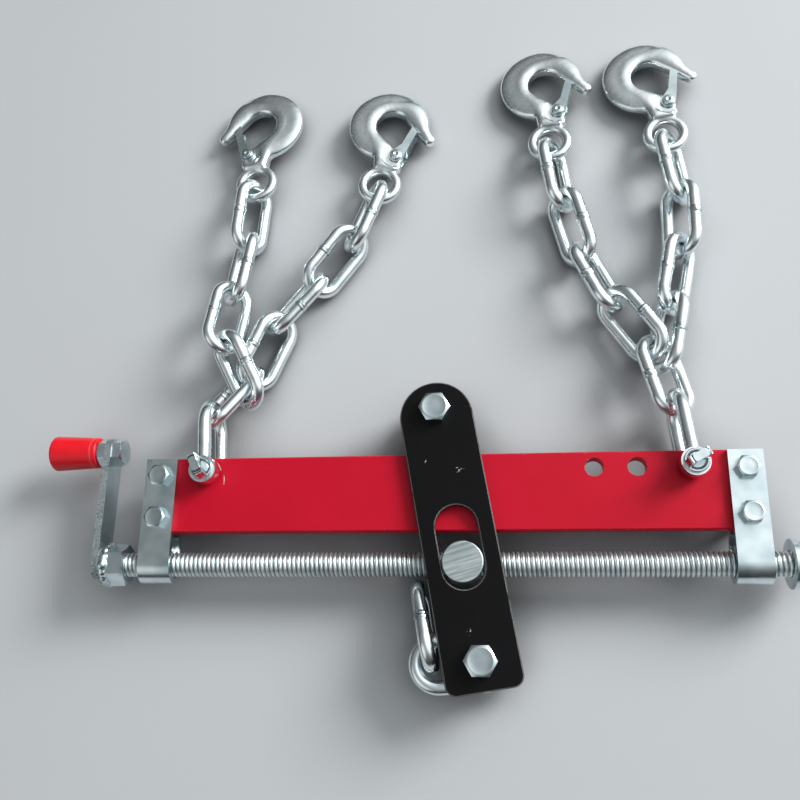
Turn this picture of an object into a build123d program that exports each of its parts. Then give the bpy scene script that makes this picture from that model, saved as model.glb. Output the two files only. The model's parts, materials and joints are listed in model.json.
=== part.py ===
from build123d import *
import os
from math import acos, atan2, cos, radians, sin, tan

# Engine load leveler, lying flat as it is sold: the bar and its carriage in the middle, the crank on the
# left, a forked chain with two hooks shackled to each end of the bar. Millimetres. While it is built, X runs
# along the bar, Y runs from the lifting link towards the hooks, Z is up and the screw's axis is the X axis.
# The bar's upper face is level with the screw's top. At the end all of it moves so that the floor is Z = 0.

# Floor
stand_height = 28.0          # from the floor up to the screw's axis

# Fits
running_gap = 0.3            # between pieces that turn loosely on each other
running_fit = 0.05           # radial, shaft in a bored hole
bolt_hole_play = 0.4         # hole diameter over bolt diameter

# Hexagon heads and nuts: round flat on the outer face and cutter's rim, both over the width across flats
hex_face = 0.95
hex_clear = 1.25
hex_slope = 30.0

# Load bar
bar_length = 400.0
bar_height = 50.0
bar_thickness = 10.0
bar_near_edge = 20.3         # from the screw's axis
bar_edge_chamfer = 0.8
hole_edge = 10.0             # row of holes to the bar's far edge
shackle_hole_end = 42.5      # from the bar's end, on both sides
spare_hole_ends = (102.8, 76.1)

# Leveling screw and its nuts
screw_diameter = 16.0
screw_hex = 24.0             # across flats
end_chamfer = 1.5
crank_stand_off = 28.5       # bracket to crank arm
weld_leg = 4.0
weld_bulge = 2.6             # weld's rounded face, from the corner along each leg
lock_nut_height = 14.0
end_stand_off = 11.5         # bracket to end washer
washer_outer = 30.5
washer_thickness = 3.0
end_nut_height = 13.0
screw_stub = 3.0             # past the end nut

# End brackets
strap_thickness = 4.0
bracket_width = 21.5
bracket_inset = 0.2          # behind the bar's end
bracket_far_inset = 0.9      # strap ends short of the bar's far edge
strap_bend = 2.0             # the lower leg leaves the bar this far before its near edge
bracket_bolt_diameter = 8.0
bracket_bolt_hex = 13.0
bracket_head = 5.5
bracket_nut = 6.5
bracket_bolt_edge = 12.6     # far bolt to the bar's far edge
bracket_bolt_spacing = 28.1

# Crank
arm_thickness = 5.0
arm_width = 19.0
crank_throw = 77.5
grip_bolt_diameter = 10.0
grip_hex = 17.0
grip_bolt_head = 6.5
grip_nut_height = 6.0
grip_lock_hex = 16.0         # nut sunk in the grip's end
grip_lock_nut_height = 5.0
grip_lock_sink = 1.5         # below the grip's end face
grip_length = 33.5
grip_inner_diameter = 21.0
grip_outer_diameter = 24.5
grip_round = 2.4

# Carriage
carriage_place = 13.5        # trunnion, from the bar's middle
carriage_lean = 10.0         # plates' long axis from square to the bar, degrees
plate_thickness = 5.0
plate_width = 48.0
plate_gap = 20.0
plate_corner = 7.0
plate_chamfer = 0.5
slot_play = 0.5              # trunnion to slot side
slot_far = 36.0              # trunnion centre to the slot's far end
slot_near = 17.0
bearing_place = 100.8        # trunnion centre to bearing bolt
bearing_end = 18.4           # bearing bolt to plate end
lift_place = 60.0
lift_end = 18.0
trunnion_diameter = 26.0
trunnion_proud = 1.5
carriage_bolt_diameter = 12.0
carriage_hex = 18.0
carriage_head = 7.5
carriage_nut = 10.8
roller_diameter = 20.0
roller_end_play = 0.3
spacer_diameter = 18.0

# Lifting links
lift_wire = 9.0
lift_pitch = 46.0            # inside length
lift_heading = 184.0
hoist_pitch = 44.0
hoist_heading = 101.5
hoist_slope = -22.0          # its leading end lies on the floor
hoist_seat = -66.0           # round the lift link's end, degrees
hoist_slack = 5.5

# Shackles
shackle_wire = 9.0
shackle_jaw = 25.0
shackle_reach = 49.0         # pin axis to the bow's centre line
ear_diameter = 18.0
pin_diameter = 11.4
pin_collar_diameter = 15.5
pin_collar = 2.5
pin_tab_width = 15.0
pin_tab_thickness = 5.0
pin_tab_height = 13.0
pin_tab_round = 2.5

# Chain
chain_wire = 9.0
chain_side_play = 6.5        # inside width over wire diameter
chain_pitch = 44.5           # inside length

# Hooks, drawn with the eye at the origin, the bowl ahead along Y and the tip on the X side
eye_inner = 18.5
eye_width = 7.25
eye_thickness = 7.5
eye_round = 3.5
hook_thickness = 12.0
hook_round = 4.0
bowl_center = (-5.0, 54.0)
bowl_radius = 31.0
bowl_back = 132.0            # direction of the middle of the bowl's outer arc
throat_center = (-2.5, 53.5)
throat_radius = 12.0
throat_back = 139.0
neck_root_left = (-7.0, 11.5)
neck_left = (-9.2, 16.6)
neck_hollow = (-10.0, 22.7)
shoulder = (-13.5, 24.2)
web_thickness = 9.0          # flat outer part of the bowl
web_round = 2.5
web_root = (-6.0, 20.5)
web_inner = 17.0             # radius from the throat's centre, inside the bead
web_setback = 0.4            # below the bead where it runs out
web_end = 36.0               # direction from the bowl's centre, inside the bead
bead_radius = 22.0           # thick inner part, from the throat's centre
bead_flank = (-12.0, 27.5)
bead_low = 222.0             # directions from the throat's centre
bead_middle = 155.0
bead_high = 88.0
bead_crown = (6.8, 77.8)
bead_merge = 50.0            # where it runs out to the bowl's outer arc
tip_root = (25.5, 59.4)
tip_hollow = (27.6, 54.0)
tip_corner = (32.3, 48.4)
tip_end = (31.5, 44.0)
tip_inner = (26.3, 42.5)
throat_far = (5.8, 62.15)
throat_near = (-9.9, 44.0)
neck_inner = (2.7, 34.2)
boss_far = (8.0, 31.2)
boss_side = (12.4, 26.0)
boss_near = (11.3, 21.5)
neck_right = (12.5, 16.4)
neck_root_right = (9.0, 11.5)
rivet_place = (6.9, 25.7)
rivet_diameter = 5.0
rivet_head_diameter = 9.0
rivet_head = 1.5
boss_thickness = 8.0
boss_pocket = 11.0           # radius round the rivet that is thinned for the latch
latch_sheet = 1.2
latch_ear = 5.5              # radius
latch_edge = 0.5             # inner edge, off the line from the rivet to the latch's end
latch_taper = 11.0           # length over which the ear narrows
latch_web_start = 7.5
latch_tip_aim = (14.0, 53.0)

# How each chain lies. A link is (heading, slope, roll, slack): degrees from X, up from the floor and about
# its own length, then how far it has slipped back from the wire it hangs on. A leg's seat is the angle round
# the first link's end and the distance back from there.
chains = {
    "right": {
        "side": 1,
        "shackle": 97.1,
        "bow": -8.6,
        "tab": 28.0,
        "first": (103.1, -7.4, 29.4, 0.83),
        "inner": {
            "seat": (20.2, 0),
            "links": [
                (123, -4.8, -41, 0.75),
                (114.4, -4.2, 52.2, 0.68),
                (104.6, 1.6, -51, 0.42),
                (98.1, -1.9, 56.5, 0.6),
            ],
            "hook": (89.5, -4.2, -3.8, 3.11),
        },
        "outer": {
            "seat": (-30.4, 7.6),
            "links": [
                (77.7, -0.1, -57.4, 2.5),
                (77.6, -0.4, 49, 0.38),
                (88.1, -2, -49.9, 0.68),
                (97.5, -1.8, 54.7, 1.44),
            ],
            "hook": (96.6, -4.2, -3.5, 3.25),
        },
    },
    "left": {
        "side": -1,
        "shackle": 93.9,
        "bow": -25.8,
        "tab": 117.0,
        "first": (53.2, -10, -47, 2.8),
        "inner": {
            "seat": (-8.4, 0),
            "links": [
                (66.9, -0.3, 44, 1.19),
                (48.3, 1.2, -51.8, 2.89),
                (53.7, -0.5, 43.6, 1.06),
                (68.2, 0.2, -57.4, 2.41),
            ],
            "hook": (78.4, -4.5, 3.3, 3.78),
        },
        "outer": {
            "seat": (-87.2, 5.2),
            "links": [
                (116.2, 8, -45, 2.76),
                (86.4, -14.6, 45, 0.43),
                (82.5, -4.8, -51, 0.45),
                (86, -1.2, 57.8, 0.44),
            ],
            "hook": (92.9, -4.4, 176.5, 2.22),
        },
    },
}

# Worked out from the sizes above
bar_far_edge = bar_near_edge + bar_height
hole_row = bar_far_edge - hole_edge
shackle_hole = bar_length / 2 - shackle_hole_end
spare_holes = [bar_length / 2 - from_end for from_end in spare_hole_ends]
bar_hole = pin_diameter + 2 * running_gap
bracket_outer = bar_length / 2 - bracket_inset
bracket_middle = bracket_outer - bracket_width / 2
loop_radius = screw_diameter / 2 + running_gap
bar_top = loop_radius
bar_bottom = bar_top - bar_thickness
bracket_rows = (bar_far_edge - bracket_bolt_edge, bar_far_edge - bracket_bolt_edge - bracket_bolt_spacing)
arm_face = -bracket_outer - crank_stand_off
washer_face = bracket_outer + end_stand_off
end_nut_face = washer_face + washer_thickness
screw_end = end_nut_face + end_nut_height + screw_stub
grip_face = arm_face - arm_thickness - grip_nut_height - running_gap
plate_outer = plate_gap / 2 + plate_thickness
lift_width = spacer_diameter + 2 * slot_play
chain_width = chain_wire + chain_side_play
ear_outer = (shackle_jaw + 2 * shackle_wire) / 2

pieces = {}
pivots = {}


def lie(origin, heading, slope=0.0, roll=0.0):
    """Plane with X along the heading and Y to its left, sloped up and rolled about X."""
    ahead = Vector(1, 0, 0).rotate(Axis.Y, -slope).rotate(Axis.Z, heading)
    left = Vector(0, 1, 0).rotate(Axis.Z, heading)
    normal = ahead.cross(left) * cos(radians(roll)) - left * sin(radians(roll))
    return Plane(origin, x_dir=ahead, z_dir=normal)


def side_of(seat):
    """Plane through a seat's axis, with Y along that axis, for profiles that turn about it."""
    return Plane(seat.origin, x_dir=seat.x_dir, z_dir=-seat.y_dir)


def trim_corners(seat, across, height):
    """Cut the usual chamfer off the corners of a hexagon's outer face."""
    inner = across / 2 * hex_face
    outer = across / 2 * hex_clear
    with BuildSketch(side_of(seat)) as corner:
        with BuildLine():
            drop = (outer - inner) * tan(radians(hex_slope))
            Polyline((inner, height), (outer, height), (outer, height - drop), close=True)
        make_face()
    revolve(corner.sketch.faces(), axis=Axis(seat.origin, seat.z_dir), mode=Mode.SUBTRACT)


def hex_bolts(seats, diameter, across, head, length):
    """Hexagon bolts, each with its head on a seat and its shank going down through it."""
    with BuildPart() as bolts:
        for seat in seats:
            with BuildSketch(seat):
                RegularPolygon(across / 2, 6, major_radius=False)
            extrude(amount=head)
            trim_corners(seat, across, head)
            with BuildSketch(seat):
                Circle(diameter / 2)
            extrude(amount=-length)
    return bolts


def hex_nuts(seats, diameter, across, height):
    """Hexagon nuts standing on their seats, bored to the bolt's outer diameter."""
    with BuildPart() as nuts:
        for seat in seats:
            with BuildSketch(seat):
                RegularPolygon(across / 2, 6, major_radius=False)
                Circle(diameter / 2 + running_fit, mode=Mode.SUBTRACT)
            extrude(amount=height)
            trim_corners(seat, across, height)
    return nuts


def oval_link(middle, wire, pitch, width):
    """Link of round wire on a middle plane: two straight legs between two half rings."""
    bend = (width + wire) / 2
    half = (pitch + wire) / 2 - bend
    with BuildPart() as link:
        for end in (1, -1):
            start = middle.from_local_coords((end * half, end * bend, 0))
            section = Plane(start, x_dir=middle.z_dir, z_dir=middle.x_dir * -end)
            with BuildSketch(section):
                Circle(wire / 2)
            extrude(amount=2 * half)
            with BuildSketch(section):
                Circle(wire / 2)
            turn = Axis(middle.from_local_coords((end * half, 0, 0)), middle.z_dir * -1)
            revolve(axis=turn, revolution_arc=180)
    return link


def link_point(middle, wire, pitch, width, round_end, back=0.0):
    """Point on a link's wire centre line: an angle round its leading end, then back along the leg."""
    bend = (width + wire) / 2
    half = (pitch + wire) / 2 - bend
    angle = radians(round_end)
    return middle.from_local_coords((half + bend * cos(angle) - back, bend * sin(angle), 0))


def link_tangent(middle, round_end):
    """Direction of a link's wire at an angle round its leading end."""
    angle = radians(round_end)
    return middle.x_dir * -sin(angle) + middle.y_dir * cos(angle)


def hang_link(point, carrier_wire, wire, pitch, pose):
    """Middle plane of a link whose trailing end hangs on a wire that passes the point."""
    heading, slope, roll, slack = pose
    reach = (pitch + wire) / 2 - (carrier_wire + wire) / 2 - slack
    ahead = lie(point, heading, slope, roll).x_dir
    return lie(point + ahead * reach, heading, slope, roll)


# Load bar
with BuildPart() as load_bar:
    with BuildSketch(Plane.XY.offset(bar_bottom)):
        with Locations((0, bar_near_edge + bar_height / 2)):
            Rectangle(bar_length, bar_height)
        with Locations([(x, hole_row) for x in (*spare_holes, shackle_hole, -shackle_hole)]):
            Circle(bar_hole / 2, mode=Mode.SUBTRACT)
        with Locations([(side * bracket_middle, y) for side in (1, -1) for y in bracket_rows]):
            Circle((bracket_bolt_diameter + bolt_hole_play) / 2, mode=Mode.SUBTRACT)
    extrude(amount=bar_thickness)
    chamfer(load_bar.edges().filter_by(GeomType.LINE), bar_edge_chamfer)
pieces["load_bar"] = load_bar


def strap_side(section, growth, length):
    """Faces of a bracket's side: a loop round the screw, level with the bar above, drawn in to it below."""
    radius = loop_radius + growth
    bend = Vector(bar_near_edge - strap_bend, bar_bottom - growth)
    lean = atan2(bend.Y, bend.X) - acos(radius / bend.length)
    touch = (radius * cos(lean), radius * sin(lean))
    upper_end = (length, radius)
    lower_end = (length, bend.Y)
    with BuildSketch(section) as side_view:
        Circle(radius)
        with BuildLine():
            Polyline((0, 0), (0, radius), upper_end, lower_end, (bend.X, bend.Y), touch, close=True)
        make_face()
    return side_view.sketch.faces()


# End brackets: strap folded round the screw, its two legs bolted to the bar
strap_length = bar_far_edge - bracket_far_inset
for name, side in (("left_bracket", -1), ("right_bracket", 1)):
    inner_face = side * bracket_middle - bracket_width / 2
    cross_section = Plane((inner_face, 0, 0), x_dir=(0, 1, 0), z_dir=(1, 0, 0))
    with BuildPart() as bracket:
        extrude(strap_side(cross_section, strap_thickness, strap_length), amount=bracket_width)
        opening = strap_side(cross_section, 0.0, 2 * strap_length)
        extrude(opening, amount=bracket_width, mode=Mode.SUBTRACT)
        with BuildSketch(Plane.XY):
            with Locations([(side * bracket_middle, y) for y in bracket_rows]):
                Circle((bracket_bolt_diameter + bolt_hole_play) / 2)
        extrude(amount=stand_height, both=True, mode=Mode.SUBTRACT)
    pieces[name] = bracket

# Bracket bolts, heads up, tips down to the floor
bolt_places = [(side * bracket_middle, y) for side in (1, -1) for y in bracket_rows]
head_level = bar_top + strap_thickness
heads_up = [Plane((x, y, head_level)) for x, y in bolt_places]
nuts_down = [Plane((x, y, bar_bottom - strap_thickness), z_dir=(0, 0, -1)) for x, y in bolt_places]
pieces["bracket_bolts"] = hex_bolts(
    heads_up, bracket_bolt_diameter, bracket_bolt_hex, bracket_head, head_level + stand_height
)
pieces["bracket_nuts"] = hex_nuts(nuts_down, bracket_bolt_diameter, bracket_bolt_hex, bracket_nut)

# Leveling screw
with BuildPart() as leveling_screw:
    with BuildSketch(Plane.YZ.offset(arm_face)):
        Circle(screw_diameter / 2)
    extrude(amount=screw_end - arm_face)
    chamfer(leveling_screw.edges().sort_by(Axis.X)[-1], end_chamfer)
pieces["leveling_screw"] = leveling_screw
pivots["screw"] = (Vector(0, 0, 0), Vector(1, 0, 0))

pieces["crank_lock_nut"] = hex_nuts(
    [Plane.YZ.offset(arm_face + weld_leg)], screw_diameter, screw_hex, lock_nut_height
)
pieces["end_nut"] = hex_nuts([Plane.YZ.offset(end_nut_face)], screw_diameter, screw_hex, end_nut_height)
with BuildPart() as end_washer:
    with BuildSketch(Plane.YZ.offset(washer_face)):
        Circle(washer_outer / 2)
        Circle(screw_diameter / 2 + running_gap, mode=Mode.SUBTRACT)
    extrude(amount=washer_thickness)
pieces["end_washer"] = end_washer

# Crank arm, welded to the screw's end
arm_seat = Plane.YZ.offset(arm_face)
with BuildPart() as crank_arm:
    with BuildSketch(arm_seat):
        with Locations((crank_throw / 2, 0)):
            SlotCenterToCenter(crank_throw, arm_width)
        with Locations((crank_throw, 0)):
            Circle((grip_bolt_diameter + bolt_hole_play) / 2, mode=Mode.SUBTRACT)
    extrude(amount=-arm_thickness)
    with BuildSketch(side_of(arm_seat)):
        with BuildLine():
            root = screw_diameter / 2
            ThreePointArc((root, weld_leg), (root + weld_bulge, weld_bulge), (root + weld_leg, 0))
            Polyline((root + weld_leg, 0), (root, 0), (root, weld_leg))
        make_face()
    revolve(axis=Axis.X)
pieces["crank_arm"] = crank_arm

# Grip on its bolt: the bolt's head is on the arm's inner side, and a nut sunk in the grip's end keeps it on
grip_axis = Axis((0, crank_throw, 0), (1, 0, 0))
grip_end = grip_face - grip_length
lock_nut_end = grip_end + grip_lock_sink
lock_nut_seat = lock_nut_end + grip_lock_nut_height
arm_inside = Plane((arm_face, crank_throw, 0), x_dir=(0, 1, 0), z_dir=(1, 0, 0))
arm_outside = Plane((arm_face - arm_thickness, crank_throw, 0), x_dir=(0, 1, 0), z_dir=(-1, 0, 0))
grip_recess = Plane((lock_nut_seat, crank_throw, 0), x_dir=(0, 1, 0), z_dir=(-1, 0, 0))
pieces["grip_bolt"] = hex_bolts(
    [arm_inside], grip_bolt_diameter, grip_hex, grip_bolt_head, arm_face - lock_nut_end
)
pieces["grip_nut"] = hex_nuts([arm_outside], grip_bolt_diameter, grip_hex, grip_nut_height)
pieces["grip_lock_nut"] = hex_nuts([grip_recess], grip_bolt_diameter, grip_lock_hex, grip_lock_nut_height)
with BuildPart() as grip:
    with BuildSketch(Plane.XY) as half_grip:
        with BuildLine():
            bore = crank_throw + grip_bolt_diameter / 2 + 2 * running_fit
            sink = crank_throw + grip_lock_hex / 2 / cos(radians(30)) + running_gap
            step = lock_nut_seat + running_gap
            Polyline(
                (grip_face, bore),
                (grip_face, crank_throw + grip_inner_diameter / 2),
                (grip_end, crank_throw + grip_outer_diameter / 2),
                (grip_end, sink),
                (step, sink),
                (step, bore),
                close=True,
            )
        make_face()
        fillet(half_grip.vertices().group_by(Axis.Y)[-1], grip_round)
        fillet(half_grip.vertices().sort_by(Axis.X)[-2:].sort_by(Axis.Y)[-1], grip_round / 2)
    revolve(axis=grip_axis)
pieces["grip"] = grip
pivots["grip"] = (Vector(grip_face, crank_throw, 0), Vector(1, 0, 0))

# Trunnion nut across the carriage, bored for the screw
trunnion_end = plate_outer + trunnion_proud
with BuildPart() as trunnion_nut:
    with BuildSketch(Plane.XY.offset(-trunnion_end)):
        with Locations((carriage_place, 0)):
            Circle(trunnion_diameter / 2)
    extrude(amount=2 * trunnion_end)
    chamfer(trunnion_nut.edges().filter_by(GeomType.CIRCLE), plate_chamfer)
    with BuildSketch(Plane.YZ.offset(carriage_place)):
        Circle(screw_diameter / 2 + running_fit)
    extrude(amount=trunnion_diameter, both=True, mode=Mode.SUBTRACT)
pieces["trunnion_nut"] = trunnion_nut
pivots["carriage"] = (Vector(carriage_place, 0, 0), Vector(0, 0, 1))

# Carriage plates, X along their length from the trunnion towards the bearing bolt
carriage = lie((carriage_place, 0, 0), 90 + carriage_lean)
slot_width = trunnion_diameter + 2 * slot_play
for name, bottom in (("front_plate", plate_gap / 2), ("back_plate", -plate_outer)):
    with BuildPart() as plate:
        with BuildSketch(carriage.offset(bottom)) as outline:
            far_end = bearing_place + bearing_end
            near_end = -lift_place - lift_end
            with Locations(((far_end - plate_width / 2 + near_end) / 2, 0)):
                Rectangle(far_end - plate_width / 2 - near_end, plate_width)
            fillet(outline.vertices().sort_by(Axis.X)[:2], plate_corner)
            with Locations((far_end - plate_width / 2, 0)):
                Circle(plate_width / 2)
            with Locations(((slot_far - slot_near) / 2, 0)):
                SlotOverall(slot_far + slot_near, slot_width, mode=Mode.SUBTRACT)
            with Locations((bearing_place, 0), (-lift_place, 0)):
                Circle((carriage_bolt_diameter + bolt_hole_play) / 2, mode=Mode.SUBTRACT)
        extrude(amount=plate_thickness)
        chamfer(plate.faces().filter_by(Axis.Z).edges(), plate_chamfer)
    pieces[name] = plate

# Carriage bolts with the bearing roller, and the spacer that the lift link hangs on
bearing_point = carriage.from_local_coords((bearing_place, 0, 0))
lift_point = carriage.from_local_coords((-lift_place, 0, 0))
for name, point in (("bearing", bearing_point), ("lift", lift_point)):
    head_seat_plane = Plane((point.X, point.Y, plate_outer))
    nut_seat_plane = Plane((point.X, point.Y, -plate_outer), z_dir=(0, 0, -1))
    pieces[name + "_bolt"] = hex_bolts(
        [head_seat_plane], carriage_bolt_diameter, carriage_hex, carriage_head, plate_outer + stand_height
    )
    pieces[name + "_nut"] = hex_nuts([nut_seat_plane], carriage_bolt_diameter, carriage_hex, carriage_nut)
sleeves = (
    ("bearing_roller", bearing_point, roller_diameter, plate_gap - 2 * roller_end_play),
    ("lift_spacer", lift_point, spacer_diameter, plate_gap),
)
for name, point, diameter, length in sleeves:
    with BuildPart() as sleeve:
        with BuildSketch(Plane((point.X, point.Y, -length / 2))):
            Circle(diameter / 2)
            Circle(carriage_bolt_diameter / 2 + 2 * running_fit, mode=Mode.SUBTRACT)
        extrude(amount=length)
    pieces[name] = sleeve
pivots["bearing_roller"] = (bearing_point, Vector(0, 0, 1))
pivots["lift_link"] = (lift_point, Vector(0, 0, 1))

# Lifting links: the first lies round the spacer, the second stands on edge round the first one's leg
lift_half = (lift_pitch - lift_width) / 2
lift_middle = lie(lift_point + lie(lift_point, lift_heading).x_dir * lift_half, lift_heading)
pieces["lift_link"] = oval_link(lift_middle, lift_wire, lift_pitch, lift_width)
hoist_point = link_point(lift_middle, lift_wire, lift_pitch, lift_width, hoist_seat)
hoist_pose = (hoist_heading, hoist_slope, 90, hoist_slack)
hoist_middle = hang_link(hoist_point, lift_wire, lift_wire, hoist_pitch, hoist_pose)
pieces["hoist_link"] = oval_link(hoist_middle, lift_wire, hoist_pitch, lift_width)
pivots["hoist_link"] = (hoist_point, link_tangent(lift_middle, hoist_seat))


def shackle(pin, heading):
    """Bow shackle of round bar: half ring, two straight legs and two flat eyes on the pin's axis."""
    along = lie(pin, heading)
    bow_radius = (shackle_jaw + shackle_wire) / 2
    leg = shackle_reach - bow_radius
    ear_side = Plane(pin, x_dir=along.x_dir, z_dir=along.z_dir)
    with BuildPart() as bow:
        for end in (1, -1):
            root = along.from_local_coords((0, 0, end * bow_radius))
            with BuildSketch(Plane(root, x_dir=along.y_dir, z_dir=along.x_dir)):
                Circle(shackle_wire / 2)
            extrude(amount=leg)
        bend_start = along.from_local_coords((leg, 0, -bow_radius))
        with BuildSketch(Plane(bend_start, x_dir=along.y_dir, z_dir=along.x_dir)):
            Circle(shackle_wire / 2)
        revolve(axis=Axis(along.from_local_coords((leg, 0, 0)), along.y_dir * -1), revolution_arc=180)
        for bottom in (shackle_jaw / 2, -ear_outer):
            with BuildSketch(ear_side.offset(bottom)):
                Circle(ear_diameter / 2)
            extrude(amount=shackle_wire)
        with BuildSketch(ear_side):
            Circle(pin_diameter / 2 + running_gap)
        extrude(amount=2 * ear_outer, both=True, mode=Mode.SUBTRACT)
    return bow


def shackle_pin(pin, tab_heading):
    """Screw pin: shaft through both eyes and the bar, collar on the upper eye, flat tab to turn it by."""
    collar_seat = Plane(pin).offset(ear_outer)
    tab = lie(pin + Vector(0, 0, ear_outer + pin_collar), tab_heading)
    with BuildPart() as screw_pin:
        with BuildSketch(collar_seat):
            Circle(pin_diameter / 2)
        extrude(amount=-2 * ear_outer)
        with BuildSketch(collar_seat):
            Circle(pin_collar_diameter / 2)
        extrude(amount=pin_collar)
        chamfer(screw_pin.edges().group_by(Axis.Z)[-1], plate_chamfer)
        with BuildSketch(Plane(tab.origin, x_dir=tab.x_dir, z_dir=-tab.y_dir)):
            with Locations((0, (pin_tab_height - pin_collar) / 2)):
                RectangleRounded(pin_tab_width, pin_tab_height + pin_collar, pin_tab_round)
        extrude(amount=pin_tab_thickness / 2, both=True)
    return screw_pin


def arc_middle(center, radius, degrees):
    """Point of a drawing on a circle."""
    angle = radians(degrees)
    return (center[0] + radius * cos(angle), center[1] + radius * sin(angle))


def hook_plane(eye):
    """Drawing plane of a hook from the plane it lies along: Y ahead to the bowl, X to the tip."""
    return Plane(eye.origin, x_dir=-eye.y_dir, z_dir=eye.z_dir)


def hook(eye):
    """Forged slip hook: round eye, thick bead round the throat, thinner web outside it.

    The neck is thinned on both sides where the latch is riveted.
    """
    drawing = hook_plane(eye)
    faces = Axis(drawing.origin, drawing.z_dir)
    eye_middle = (eye_inner + eye_width) / 2
    bead_start = arc_middle(throat_center, bead_radius, bead_low)
    bead_end = arc_middle(throat_center, bead_radius, bead_high)
    merge = arc_middle(bowl_center, bowl_radius, bead_merge)
    merge_back = arc_middle(bowl_center, bowl_radius, bead_merge / 2)
    with BuildPart() as web:
        with BuildSketch(drawing):
            with BuildLine():
                ThreePointArc(web_root, neck_hollow, shoulder)
                outer_end = arc_middle(bowl_center, bowl_radius - web_setback, web_end)
                inner_start = arc_middle(throat_center, web_inner, web_end)
                inner_end = arc_middle(throat_center, web_inner, bead_low)
                ThreePointArc(shoulder, arc_middle(bowl_center, bowl_radius, bowl_back), outer_end)
                Line(outer_end, inner_start)
                ThreePointArc(inner_start, arc_middle(throat_center, web_inner, bead_middle), inner_end)
                Line(inner_end, web_root)
            make_face()
        extrude(amount=web_thickness / 2, both=True)
        fillet(web.faces().filter_by(faces).edges(), web_round)
    with BuildPart() as body:
        with BuildSketch(drawing):
            with BuildLine():
                Line(neck_root_left, neck_left)
                ThreePointArc(neck_left, bead_flank, bead_start)
                ThreePointArc(bead_start, arc_middle(throat_center, bead_radius, bead_middle), bead_end)
                ThreePointArc(bead_end, bead_crown, merge)
                ThreePointArc(merge, merge_back, tip_root)
                ThreePointArc(tip_root, tip_hollow, tip_corner)
                ThreePointArc(tip_corner, tip_end, tip_inner)
                Line(tip_inner, throat_far)
                ThreePointArc(throat_far, arc_middle(throat_center, throat_radius, throat_back), throat_near)
                Polyline(throat_near, neck_inner, boss_far)
                ThreePointArc(boss_far, boss_side, boss_near)
                Polyline(boss_near, neck_right, neck_root_right, neck_root_left)
            make_face()
        extrude(amount=hook_thickness / 2, both=True)
        fillet(body.faces().filter_by(faces).edges(), hook_round)
        add(web.part)
        with BuildSketch(side_of(eye)):
            with Locations((eye_middle, 0)):
                RectangleRounded(eye_width, eye_thickness, eye_round)
        revolve(axis=faces)
        for upper in (True, False):
            with BuildSketch(drawing.offset(boss_thickness / 2 if upper else -hook_thickness)):
                with Locations(rivet_place):
                    Circle(boss_pocket)
            extrude(amount=hook_thickness - boss_thickness / 2, mode=Mode.SUBTRACT)
        with BuildSketch(drawing):
            with Locations(rivet_place):
                Circle(rivet_diameter / 2 + running_fit)
        extrude(amount=hook_thickness, both=True, mode=Mode.SUBTRACT)
    return body


def laid_along(form, eye):
    """Copy of a form that was drawn on the XY plane, moved to lie along another plane."""
    with BuildPart() as copy:
        add(form.part.moved(eye.location))
    return copy


latch_inside = boss_thickness / 2 + running_gap
latch_outside = latch_inside + latch_sheet
rivet_seat = latch_outside + running_gap


def latch(eye):
    """Sheet steel latch: two ears on the rivet, a channel closed on its outer side, cut to the tip."""
    drawing = hook_plane(eye)
    aim = Vector(latch_tip_aim[0] - rivet_place[0], latch_tip_aim[1] - rivet_place[1])
    along = Plane(
        drawing.from_local_coords((*rivet_place, 0)),
        x_dir=drawing.x_dir * aim.X + drawing.y_dir * aim.Y,
        z_dir=drawing.z_dir,
    )
    tip_line = Vector(throat_far[0] - tip_inner[0], throat_far[1] - tip_inner[1]).normalized()
    inward = Vector(-tip_line.Y, tip_line.X)
    inward = inward if inward.X < 0 else inward * -1
    from_tip = Vector(rivet_place[0] - tip_inner[0], rivet_place[1] - tip_inner[1])
    clear = from_tip.dot(inward) - running_gap
    ahead = aim.normalized()
    across = Vector(-ahead.Y, ahead.X)

    def end_at(offset):
        return ((clear + offset * across.dot(inward)) / -ahead.dot(inward), offset)

    with BuildPart() as channel:
        with BuildSketch(along):
            Circle(latch_ear)
            with BuildLine():
                Polyline(
                    (0, latch_ear),
                    (latch_taper, latch_edge),
                    end_at(latch_edge),
                    end_at(-latch_ear + latch_edge),
                    (latch_web_start, -latch_ear),
                    (0, -latch_ear),
                    close=True,
                )
            make_face()
            Circle(rivet_diameter / 2 + running_fit, mode=Mode.SUBTRACT)
        extrude(amount=latch_outside, both=True)
        with BuildSketch(along):
            length = 2 * end_at(0)[0]
            with Locations((0, latch_ear + latch_sheet + latch_edge)):
                Rectangle(2 * length, 4 * latch_ear)
            Rectangle(2 * latch_web_start, 4 * latch_ear)
        extrude(amount=latch_inside, both=True, mode=Mode.SUBTRACT)
    return channel


def latch_rivet(eye):
    """Rivet through the latch's ears and the hook's neck, headed on both sides."""
    drawing = hook_plane(eye)
    with BuildPart() as pin:
        with BuildSketch(drawing):
            with Locations(rivet_place):
                Circle(rivet_diameter / 2)
        extrude(amount=rivet_seat + rivet_head, both=True)
        for upper in (True, False):
            with BuildSketch(drawing.offset(rivet_seat if upper else -rivet_seat - rivet_head)):
                with Locations(rivet_place):
                    Circle(rivet_head_diameter / 2)
            extrude(amount=rivet_head)
    return pin


hook_form = hook(Plane.XY)

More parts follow.
